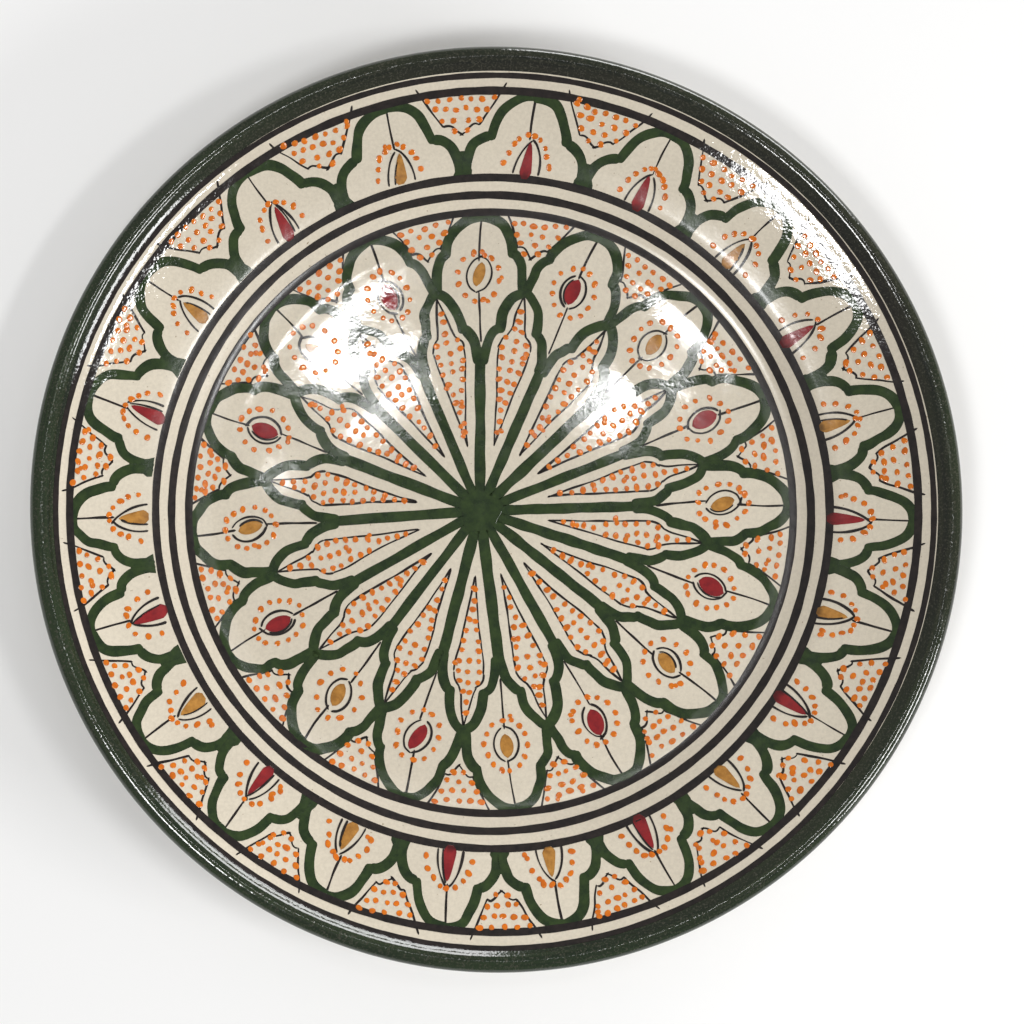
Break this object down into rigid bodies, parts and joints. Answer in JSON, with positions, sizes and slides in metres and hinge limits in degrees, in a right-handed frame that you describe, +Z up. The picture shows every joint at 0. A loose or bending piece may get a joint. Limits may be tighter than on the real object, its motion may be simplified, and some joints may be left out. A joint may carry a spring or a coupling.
{
  "type": "hand painted ceramic plate",
  "caption": "Round glazed earthenware plate on a foot ring, with a petalled medallion in the well, a petalled border on the flange and a dark green rolled lip.",
  "frame": {"origin": "centre of the bottom face of the foot ring, on the plate's axis", "axes": "+Z up along the plate's axis, out of the well; +X to the right and +Y to the top of the painted face"},
  "size_m": [0.3202, 0.3202, 0.0353],
  "materials": {
    "bare_clay": "matte",
    "cream_glaze": "gloss",
    "rim_green_glaze": "gloss",
    "green_line": "gloss",
    "brown_black_line": "gloss",
    "red_enamel": "gloss",
    "ochre_enamel": "gloss",
    "orange_enamel": "gloss"
  },
  "bodies": {
    "root": {"clay_body": "bare_clay", "foot_ring": "bare_clay", "face_glaze": "cream_glaze", "back_glaze": "cream_glaze", "base_glaze": "cream_glaze", "rim_glaze": "rim_green_glaze", "rim_border_line": "brown_black_line", "painted_ring_1": "brown_black_line", "painted_ring_2": "brown_black_line", "painted_ring_3": "brown_black_line", "painted_ring_4": "brown_black_line", "medallion_tracery": "green_line", "border_tracery": "green_line", "medallion_eye_01": "ochre_enamel", "medallion_eye_02": "red_enamel", "medallion_eye_03": "ochre_enamel", "medallion_eye_04": "red_enamel", "medallion_eye_05": "ochre_enamel", "medallion_eye_06": "red_enamel", "medallion_eye_07": "ochre_enamel", "medallion_eye_08": "red_enamel", "medallion_eye_09": "ochre_enamel", "medallion_eye_10": "red_enamel", "medallion_eye_11": "ochre_enamel", "medallion_eye_12": "red_enamel", "medallion_eye_13": "ochre_enamel", "medallion_eye_14": "red_enamel", "medallion_eye_15": "ochre_enamel", "medallion_eye_16": "red_enamel", "border_eye_01": "red_enamel", "border_eye_02": "ochre_enamel", "border_eye_03": "red_enamel", "border_eye_04": "ochre_enamel", "border_eye_05": "red_enamel", "border_eye_06": "red_enamel", "border_eye_07": "ochre_enamel", "border_eye_08": "red_enamel", "border_eye_09": "ochre_enamel", "border_eye_10": "red_enamel", "border_eye_11": "ochre_enamel", "border_eye_12": "red_enamel", "border_eye_13": "ochre_enamel", "border_eye_14": "red_enamel", "border_eye_15": "ochre_enamel", "border_eye_16": "red_enamel", "border_eye_17": "ochre_enamel", "border_eye_18": "red_enamel", "border_eye_19": "ochre_enamel", "border_eye_20": "red_enamel", "border_eye_21": "ochre_enamel"}
  },
  "joints": []
}
